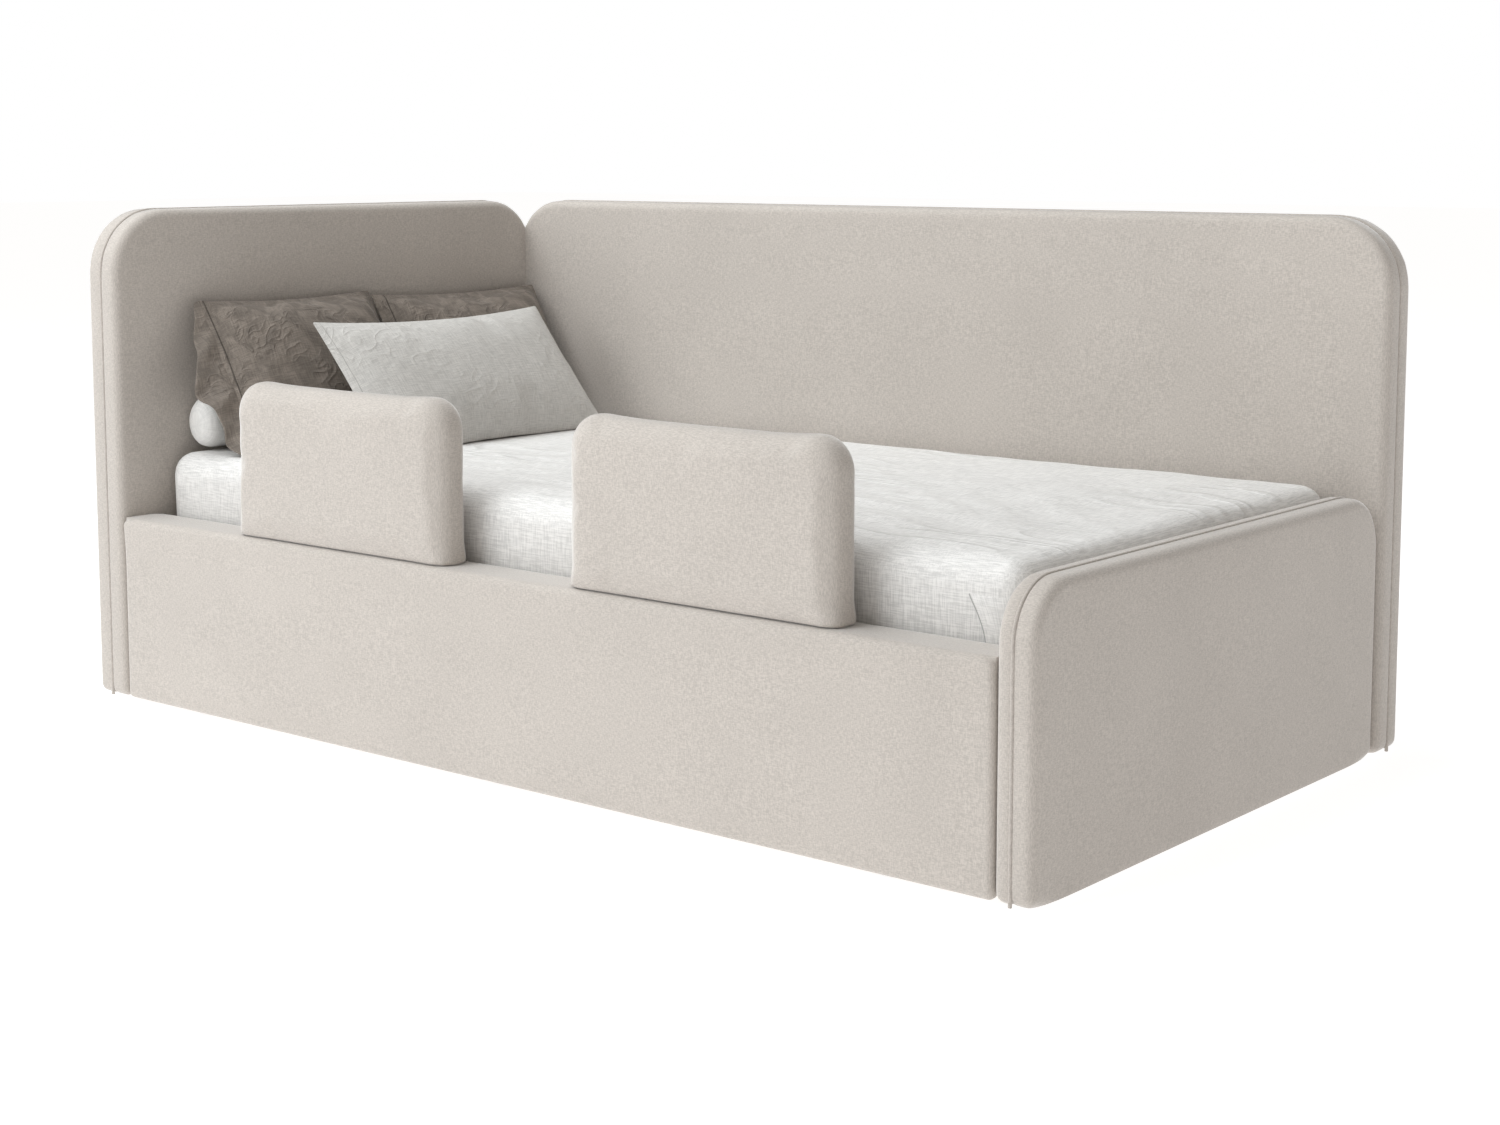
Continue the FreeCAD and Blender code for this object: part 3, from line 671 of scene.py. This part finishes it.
# Long soft ridges of a loose cover. x and y are measured from the mattress's front head corner
def foldHeight(x, y, spec):
    total = 0.0
    size = spec["wanderScale"]
    for fold in mattressFolds:
        turn = math.radians(fold["turn"])
        along = x * math.cos(turn) + y * math.sin(turn)
        wander = spec["wander"] * noise.noise(Vector((x * size, y * size, fold["seed"])))
        across = y * math.cos(turn) - x * math.sin(turn) + wander
        value = noise.noise(Vector((along * fold["along"], across * fold["across"], fold["seed"])))
        ridge = (1 - min(1.0, abs(value) * spec["ridgeSharpness"])) ** 2
        away = math.hypot(x - fold["place"][0], y - fold["place"][1])
        total += fold["height"] * ridge * math.exp(-(away / fold["reach"]) ** 2)
    return total


def makeMattress(spec):
    low, high = (Vector(corner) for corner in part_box("mattress_cover"))
    piece = addBlock("mattressCover", low, high)
    bevelEdges(piece, lambda a, b: abs(a.z - b.z) > spec["uprightLength"],
               *spec["topRoll"])
    bevelEdges(piece, lambda a, b: min(a.z, b.z) > high.z - planeReach, *spec["topRoll"])
    bevelEdges(piece, lambda a, b: max(a.z, b.z) < low.z + planeReach, *spec["bottomRoll"])
    for axis in range(3):
        cutAcross(piece, axis, spec["cutStep"], low[axis], high[axis])
    for vertex in piece.data.vertices:
        x, y, z = vertex.co
        onTop = clamp((z - high.z + spec["topDepth"]) / spec["topFade"])
        rim = min(x - low.x, high.x - x, y - low.y, high.y - y)
        inside = clamp(rim / spec["rimFade"])
        fold = spec["foldHeight"] * foldHeight(x - low.x, y - low.y, spec)
        fold *= spec["rimFold"] + (1 - spec["rimFold"]) * inside
        vertex.co.z += onTop * (spec["lift"] + fold)
        place = Vector(value * scale for value, scale in zip((x, y, z), spec["sideScale"]))
        wave = max(0.0, noise.noise(place) + spec["sideBias"]) * spec["sideWave"]
        for axis in (0, 1):
            if vertex.co[axis] < low[axis] + spec["sideReach"]:
                vertex.co[axis] += (1 - onTop) * wave
            if vertex.co[axis] > high[axis] - spec["sideReach"]:
                vertex.co[axis] -= (1 - onTop) * wave
        vertex.co.z = max(vertex.co.z, low.z + spec["underGap"])
    subdivide(piece)
    finishPiece(piece, mattressLinen, "mattress",
                ["mattress_cover", "mattress_foam"])
    makeCornerFlap(low, high, flapSettings)


flapSettings = {"fromFoot": 0.0825, "curve": 0.034, "start": 0.055, "width": 0.066,
                "drop": 0.075, "stand": 0.0050, "thickness": 0.0018, "rows": 22, "columns": 14,
                "endGap": 0.002, "tuckLength": 0.2, "tuckDepth": 0.0015, "clear": 0.0009}


# The folded corner of the cover: a curved free edge that runs down the side near the foot
def makeCornerFlap(low, high, spec):
    piece = addGrid("mattressCornerFlap", spec["columns"], spec["rows"])
    radius = mattressSettings["topRoll"][0]
    spots = []
    for vertex in piece.data.vertices:
        across, down = vertex.co.x + 0.5, 0.5 - vertex.co.y
        free = high.x - spec["fromFoot"] + spec["curve"] * math.sin(down * math.pi / 2)
        x = free + (high.x - spec["endGap"] - free) * across
        along = spec["start"] + down * spec["drop"]
        turn = min(math.pi / 2, along / radius)
        rest = max(0.0, along - radius * math.pi / 2)
        corner = max(0.0, (x - (high.x - radius)) / radius)
        tuck = radius * (1 - math.sqrt(max(0.0, 1 - corner ** 2)))
        loose = min(1.0, down / spec["tuckLength"])
        lift = spec["stand"] * (1 - across) * down + spec["clear"] * loose \
            - spec["tuckDepth"] * (1 - loose)
        y = low.y + radius * (1 - math.sin(turn)) + tuck - lift * math.sin(turn)
        z = high.z - radius * (1 - math.cos(turn)) - rest - tuck * math.cos(turn) \
            + lift * math.cos(turn)
        spots.append((across * spec["width"], down * spec["drop"]))
        vertex.co = (x, y, z)
    layCloth(piece, spots)
    applyModifier(piece, "SOLIDIFY", thickness=spec["thickness"], offset=-1)
    subdivide(piece)
    finishPiece(piece, cornerLinen, "mattress")


darkPillow = {"lean": 30, "sink": 0.004, "smoothing": 5, "even": 0.45, "fill": 0.6,
              "crumple": 0.0034}
pillowSettings = {
    "pillowLeft": dict(darkPillow, node="pillow_left", size=(0.358, 0.270, 0.090), shift=0.017,
                       seed=3.0, flange=0.054, pull=(0.003, 0.008)),
    "pillowRight": dict(darkPillow, node="pillow_right", size=(0.392, 0.270, 0.090), shift=0,
                        seed=11.0, flange=0, pull=(0.004, 0.008)),
    "pillowFront": {"node": "pillow_front", "size": (0.510, 0.272, 0.104), "lean": 40, "shift": 0,
                    "sink": 0.008, "smoothing": 10, "even": 0.62, "seed": 23.0, "flange": 0,
                    "fill": 0.7, "pull": (0.005, 0.014), "crumple": 0.0020},
}
pillowSewing = {"step": 0.008, "gap": 0.006, "pressure": 5.0, "stiffness": 8, "frames": 22,
                "slack": 1.10, "ripple": 0.004, "fineRipple": 0.002, "rippleScale": 11,
                "fineScale": 3, "quickHeight": 0.04}
pillowShape = {"rim": 0.055, "rimPower": 1.4, "rimHeight": 0.15, "crumpleScale": 22,
               "fineScale": 41, "fineShare": 0.6, "crumpleFade": 3, "lensPower": 2.4,
               "lensRound": 0.62, "lensHeight": 0.46, "rest": 0.001, "pressed": 0.02}


# Two flat pieces of cloth sewn round their edge, blown up, then leaned where the pillow stands
def sewPillow(name, spec, sewing, material, slot):
    width, height = (size * sewing["slack"] for size in spec["size"][:2])
    piece = addGrid(name, round(width / sewing["step"]), round(height / sewing["step"]))
    piece.scale = (width, height, 1)
    bpy.ops.object.transform_apply(location=False, rotation=False, scale=True)
    layCloth(piece, [(vertex.co.x, vertex.co.y) for vertex in piece.data.vertices])
    size = sewing["rippleScale"]
    for vertex in piece.data.vertices:
        place = Vector((vertex.co.x * size, vertex.co.y * size, spec["seed"]))
        vertex.co.z += sewing["ripple"] * noise.noise(place) \
            + sewing["fineRipple"] * noise.noise(place * sewing["fineScale"])
    applyModifier(piece, "SOLIDIFY", thickness=sewing["gap"], offset=0)
    runCloth(piece, sewing)
    applyModifier(piece, "SMOOTH", factor=0.5, iterations=spec["smoothing"])
    fitPillow(piece, spec, pillowShape)
    if spec["flange"]:
        addFlange(piece, spec["flange"], flangeSettings)
    leanPillow(piece, spec, pillowShape)
    subdivide(piece)
    finishPiece(piece, material, spec["node"], [spec["node"]])
    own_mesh(piece)


# Where each point lay on the flat cloth
def clothSpots(piece):
    layer = piece.data.uv_layers.active.data
    return {loop.vertex_index: layer[loop.index].uv.copy() for loop in piece.data.loops}


# Brings the blown-up shape to the pillow's real size, with sides that pull in between corners,
# then part of the way to an even lens, and crumples it. inside is 0 at the seam
def fitPillow(piece, spec, shape):
    spots = clothSpots(piece)
    verts = piece.data.vertices
    reach = Vector((max(spot.x for spot in spots.values()), max(spot.y for spot in spots.values())))
    inside = {index: min(1.0, min(reach.x - abs(spot.x), reach.y - abs(spot.y)) / shape["rim"])
              for index, spot in spots.items()}
    for axis in (0, 1):
        other = 1 - axis
        ends = {}
        for index, spot in spots.items():
            value = verts[index].co[axis]
            row = ends.setdefault(round(spot[other], 4), [value, value])
            row[0] = min(row[0], value)
            row[1] = max(row[1], value)
        size = spec["size"][axis]
        for index, spot in spots.items():
            key = round(spot[other], 4)
            least, most = ends[key]
            pull = spec["pull"][axis] * (1 - (key / reach[other]) ** 2)
            share = (verts[index].co[axis] - least) / (most - least)
            plain = 0.5 + spot[axis] / reach[axis] / 2
            share += (plain - share) * max(spec["even"], 1 - inside[index])
            verts[index].co[axis] = -size / 2 + pull + share * (size - 2 * pull)
    least = min(vertex.co.z for vertex in verts)
    most = max(vertex.co.z for vertex in verts)
    for vertex in verts:
        spot = spots[vertex.index]
        deep = inside[vertex.index] ** shape["rimPower"]
        share = (vertex.co.z - least) / (most - least)
        place = Vector((vertex.co.x, vertex.co.y, spec["seed"] * 0.1))
        fine = noise.noise(place * shape["crumpleScale"]) \
            + shape["fineShare"] * abs(noise.noise(place * shape["fineScale"]))
        full = min(1.0, abs(share - 0.5) * shape["crumpleFade"])
        vertex.co.z = (share - 0.5) * (spec["size"][2] - 2 * spec["crumple"])
        vertex.co.z += math.copysign(spec["crumple"] * fine * full, share - 0.5)
        vertex.co.z *= shape["rimHeight"] + (1 - shape["rimHeight"]) * deep * (2 - deep)
        lens = (1 - abs(spot.x / reach.x) ** shape["lensPower"]) \
            * (1 - abs(spot.y / reach.y) ** shape["lensPower"])
        plain = shape["lensHeight"] * spec["size"][2] * max(0.0, lens) ** shape["lensRound"]
        vertex.co.z += (math.copysign(plain, share - 0.5) - vertex.co.z) * spec["even"]


# Stands the pillow up on its lower edge, then keeps it off the mattress and the headboard
def leanPillow(piece, spec, shape):
    low, high = (Vector(corner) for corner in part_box(spec["node"]))
    lean = math.radians(spec["lean"])
    stand = Matrix(((0, -math.sin(lean), math.cos(lean), 0), (1, 0, 0, 0),
                    (0, math.cos(lean), math.sin(lean), 0), (0, 0, 0, 1)))
    middle = (low + high) / 2 + Vector((0, spec["shift"], 0))
    piece.data.transform(Matrix.Translation(middle) @ stand)
    lowest = min(vertex.co.z for vertex in piece.data.vertices)
    piece.data.transform(Matrix.Translation((0, 0, low.z - spec["sink"] - lowest)))
    for vertex in piece.data.vertices:
        under = low.z - vertex.co.z
        if under > -shape["rest"]:
            vertex.co.z = low.z + shape["rest"] - (under + shape["rest"]) * shape["pressed"]
        behind = low.x - vertex.co.x
        if behind > 0:
            vertex.co.x = low.x - behind * shape["pressed"]


flangeSettings = {
    "columns": 10, "thickness": 0.003, "topShare": 0.14, "widen": 2.2, "narrow": 1.1,
    "edgeWave": 0.004, "edgeTurns": 15, "wave": 0.006, "waveTurns": 19, "waveSkew": 1.8,
    "fineWave": 0.003, "fineTurns": 37, "waveStart": 3, "waveOut": 1.6, "overlap": 0.004,
    "sag": 0.25, "settle": 0.003, "droop": 0.30, "clothShift": (-0.05, 0.1),
}


# The unfilled end of a pillowcase: a limp wavy hem beyond the seam, narrow at its top
def addFlange(piece, width, spec):
    spots = clothSpots(piece)
    least = min(spot.x for spot in spots.values())
    rows = {}
    for index, spot in spots.items():
        if spot.x < least + planeReach:
            rows.setdefault(round(spot.y, 4), []).append(piece.data.vertices[index].co.copy())
    line = [sum(points, Vector()) / len(points) for row, points in sorted(rows.items())]
    flange = addGrid("flange", spec["columns"], len(line) - 1)
    for vertex in flange.data.vertices:
        out = 0.5 - vertex.co.x
        share = vertex.co.y + 0.5
        base = line[min(len(line) - 1, round(share * (len(line) - 1)))]
        hang = 1 - share
        wide = min(1.0, hang * spec["widen"])
        reach = width * (spec["topShare"] + (1 - spec["topShare"]) * wide) \
            * (1 - spec["narrow"] * max(0.0, hang - 0.5))
        reach += spec["edgeWave"] * math.sin(share * spec["edgeTurns"]) * hang
        slow = math.sin(share * spec["waveTurns"] + out * spec["waveSkew"])
        fast = math.sin(share * spec["fineTurns"])
        wave = (slow * spec["wave"] + fast * spec["fineWave"]) \
            * min(1.0, hang * spec["waveStart"])
        vertex.co = (base.x + spec["overlap"] - reach * out,
                     base.y - reach * out * spec["sag"],
                     base.z * (1 - out) - spec["settle"] * out
                     - reach * spec["droop"] * out ** 2
                     + wave * min(1.0, out * spec["waveOut"]))
    shiftX, shiftY = spec["clothShift"]
    layCloth(flange, [(vertex.co.x + shiftX, vertex.co.y + shiftY)
                      for vertex in flange.data.vertices])
    applyModifier(flange, "SOLIDIFY", thickness=spec["thickness"], offset=0)
    pick(piece)
    flange.select_set(True)
    bpy.ops.object.join()


bolsterSettings = {
    "inset": 0.003, "sides": 48, "voxel": 0.006, "endRoll": (0.026, 6),
    "pressure": 3.0, "stiffness": 12, "frames": 16, "cap": 0.005, "slack": 0.002,
    "slackScale": (20, 7, 20), "slackBias": 0.5, "plump": 0.18, "plumpLength": 0.11,
    "plumpFade": 0.08,
}


def makeBolster(spec):
    low, high = (Vector(corner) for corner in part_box("bolster_pillow"))
    middle = (low + high) / 2
    radius = (high.z - low.z) / 2 - spec["inset"]
    deselectAll()
    bpy.ops.mesh.primitive_cylinder_add(vertices=spec["sides"], radius=radius,
                                        depth=high.y - low.y - 2 * spec["inset"],
                                        location=middle, rotation=(math.pi / 2, 0, 0))
    bpy.ops.object.transform_apply(location=True, rotation=True, scale=False)
    piece = bpy.context.object
    piece.name = "bolster"
    for level in (low.y + spec["inset"], high.y - spec["inset"]):
        bevelEdges(piece, lambda a, b: inPlane(a, b, 1, level), *spec["endRoll"])
    applyModifier(piece, "REMESH", mode="VOXEL", voxel_size=spec["voxel"])
    start = [vertex.co.copy() for vertex in piece.data.vertices]
    runCloth(piece, spec)
    for vertex, before in zip(piece.data.vertices, start):
        vertex.co = before + capped(vertex.co - before, spec["cap"])
        place = Vector(value * scale for value, scale in zip(before, spec["slackScale"]))
        slack = spec["slack"] * (noise.noise(place) + spec["slackBias"])
        vertex.co -= (before - Vector((middle.x, before.y, middle.z))).normalized() * slack
        end = clamp((spec["plumpLength"] - before.y + low.y) / spec["plumpFade"])
        vertex.co.z = low.z + (vertex.co.z - low.z) * (1 + spec["plump"] * end)
        vertex.co.z = max(vertex.co.z, low.z)
        vertex.co.x = max(vertex.co.x, low.x)
    piece.data.uv_layers.new(name="UVMap")
    spots = [vertex.co - middle for vertex in piece.data.vertices]
    layCloth(piece, [(spot.y, math.atan2(spot.z, spot.x) * radius) for spot in spots])
    subdivide(piece)
    finishPiece(piece, whiteCotton, "bolster_pillow", ["bolster_pillow"])
    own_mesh(piece)


# For each slot: name, dark and pale colour, stretch, rings, roughness, coat
woodFinishes = {
    "board": ("particle board", (0.50, 0.37, 0.24), (0.72, 0.58, 0.42), (9, 9, 9), 2.0, 0.7, 0),
    "timber": ("pine timber", (0.60, 0.42, 0.24), (0.82, 0.66, 0.45), (1, 14, 14), 1.6, 0.6, 0),
    "slat_wood": ("birch slats", (0.70, 0.54, 0.36), (0.88, 0.76, 0.58), (14, 1, 14), 1.2, 0.45,
                  0.2),
}


def woodMaterial(name, dark, pale, stretch, rings, roughness, coat):
    material, tree, shader = newMaterial(name)
    coords = addNode(tree, "ShaderNodeTexCoord").outputs["Object"]
    grain = useGroup(tree, "grain", Vector=coords, Stretch=stretch, Rings=rings)
    fibre = grain.outputs["Fibre"]
    total = mathNode(tree, "MULTIPLY_ADD", grain.outputs["Band"], 0.35,
                     mathNode(tree, "MULTIPLY", fibre, 0.65))
    tone = colourRamp(tree, total, [(0.25, shade(dark, 1.0)), (0.7, shade(pale, 1.0))])
    linkSurface(tree, shader, tone, fibre, roughness, 0.2, fibre, 0.25, 0.0006)
    shader.inputs["Coat Weight"].default_value = coat
    return material


# For each slot: name, colour, metallic, roughness, scale, relief
hardFinishes = {
    "coated_steel": ("graphite coating", (0.055, 0.055, 0.06), 0.0, 0.5, 60.0, 0.5),
    "zinc_steel": ("zinc plate", (0.62, 0.64, 0.66), 1.0, 0.38, 35.0, 0.2),
    "rod_steel": ("polished rod", (0.78, 0.79, 0.80), 1.0, 0.16, 20.0, 0.05),
    "plastic": ("black plastic", (0.028, 0.028, 0.03), 0.0, 0.55, 90.0, 0.35),
    "grip_rubber": ("grip rubber", (0.035, 0.035, 0.036), 0.0, 0.85, 160.0, 0.9),
}


def hardMaterial(name, colour, metallic, roughness, scale, relief):
    material, tree, shader = newMaterial(name)
    coords = addNode(tree, "ShaderNodeTexCoord").outputs["Object"]
    mask = useGroup(tree, "grime", Vector=coords, Scale=scale).outputs[0]
    tone = colourRamp(tree, mask, [(0.3, shade(colour, 0.86)), (0.7, shade(colour, 1.08))])
    linkSurface(tree, shader, tone, mask, roughness, 0.3, mask, relief, 0.0003)
    shader.inputs["Metallic"].default_value = metallic
    return material


# Gives every part that keeps its own shape the material of its slot
def dressNodes():
    finishes = {"piping": shadedPipingCloth,
                "webbing": clothMaterial("webbing", (0.20, 0.175, 0.155), webbingSettings),
                "foam": clothMaterial("mattress foam", (0.86, 0.82, 0.70), foamSettings)}
    for slot, row in woodFinishes.items():
        finishes[slot] = woodMaterial(*row)
    for slot, row in hardFinishes.items():
        finishes[slot] = hardMaterial(*row)
    for row in frame["record"]["subparts"]:
        node = frame["nodes"][row["node"]]
        if node.hide_render or row["material_slot"] not in finishes:
            continue
        node.data.materials.clear()
        node.data.materials.append(finishes[row["material_slot"]])
    print("structure dressed")


stageSettings = {"floorSize": 60, "floorLevel": -0.0005, "floorRoughness": 0.9, "floorGlow": 0.81,
                 "lampColour": (0.94, 0.978, 1.0), "worldColour": (1.0, 0.958, 0.905),
                 "worldLevel": 0.375}
lightSettings = [
    {"name": "key", "place": (-1.6, -5.0, 2.6), "aim": (0, 0, 0.3), "size": 3.2, "power": 102},
    {"name": "top", "place": (-1.5, -1.1, 4.1), "aim": (0, 0, 0.2), "size": 3.0, "power": 140},
]


def makeStage(spec):
    deselectAll()
    bpy.ops.mesh.primitive_plane_add(size=spec["floorSize"],
                                     location=(0, 0, spec["floorLevel"]))
    floor = bpy.context.object
    floor.name = "floor"
    material, tree, shader = newMaterial("pale floor")
    fillInputs(tree, shader, {"Base Color": shade(white, 0.5), "Specular IOR Level": 0.0,
                              "Roughness": spec["floorRoughness"],
                              "Emission Color": shade(white, 1.0),
                              "Emission Strength": spec["floorGlow"]})
    floor.data.materials.append(material)
    for light in lightSettings:
        bpy.ops.object.light_add(type="AREA", location=light["place"])
        lamp = bpy.context.object
        lamp.name = light["name"]
        lamp.data.size = light["size"]
        lamp.data.energy = light["power"]
        lamp.data.color = spec["lampColour"]
        aim = Vector(light["aim"]) - Vector(light["place"])
        lamp.rotation_euler = aim.to_track_quat("-Z", "Y").to_euler()
    print("floor and lamps added")


# An even backdrop that looks white but lights the bed softly
def makeWorld(spec):
    world = bpy.data.worlds.new("studio")
    bpy.context.scene.world = world
    world.use_nodes = True
    tree = world.node_tree
    seen = addNode(tree, "ShaderNodeLightPath").outputs["Is Camera Ray"]
    level = mathNode(tree, "MULTIPLY_ADD", seen, 1.0 - spec["worldLevel"],
                     spec["worldLevel"])
    colour = addNode(tree, "ShaderNodeMix",
                     {0: seen, 6: shade(spec["worldColour"], 1.0), 7: shade(white, 1.0)},
                     data_type="RGBA").outputs[2]
    fillInputs(tree, tree.nodes["Background"], {"Color": colour, "Strength": level})
    bpy.context.scene.view_settings.view_transform = "Standard"


addCamera(cameraSettings)
makePanels()
makeRail(railSettings)
for guardNumber in (1, 2):
    makeGuard(guardNumber, guardSettings)
makeMattress(mattressSettings)

# Each pillow's underside is pressed nearly flat at a level just above the mattress
pillowCloths = {"pillowLeft": (darkLinen, "dark_linen"), "pillowRight": (darkLinen, "dark_linen"),
                "pillowFront": (lightLinen, "light_linen")}
for pillowName, pillowSpec in pillowSettings.items():
    sewPillow(pillowName, pillowSpec, pillowSewing, *pillowCloths[pillowName])
makeBolster(bolsterSettings)
dressNodes()
makeStage(stageSettings)
makeWorld(stageSettings)
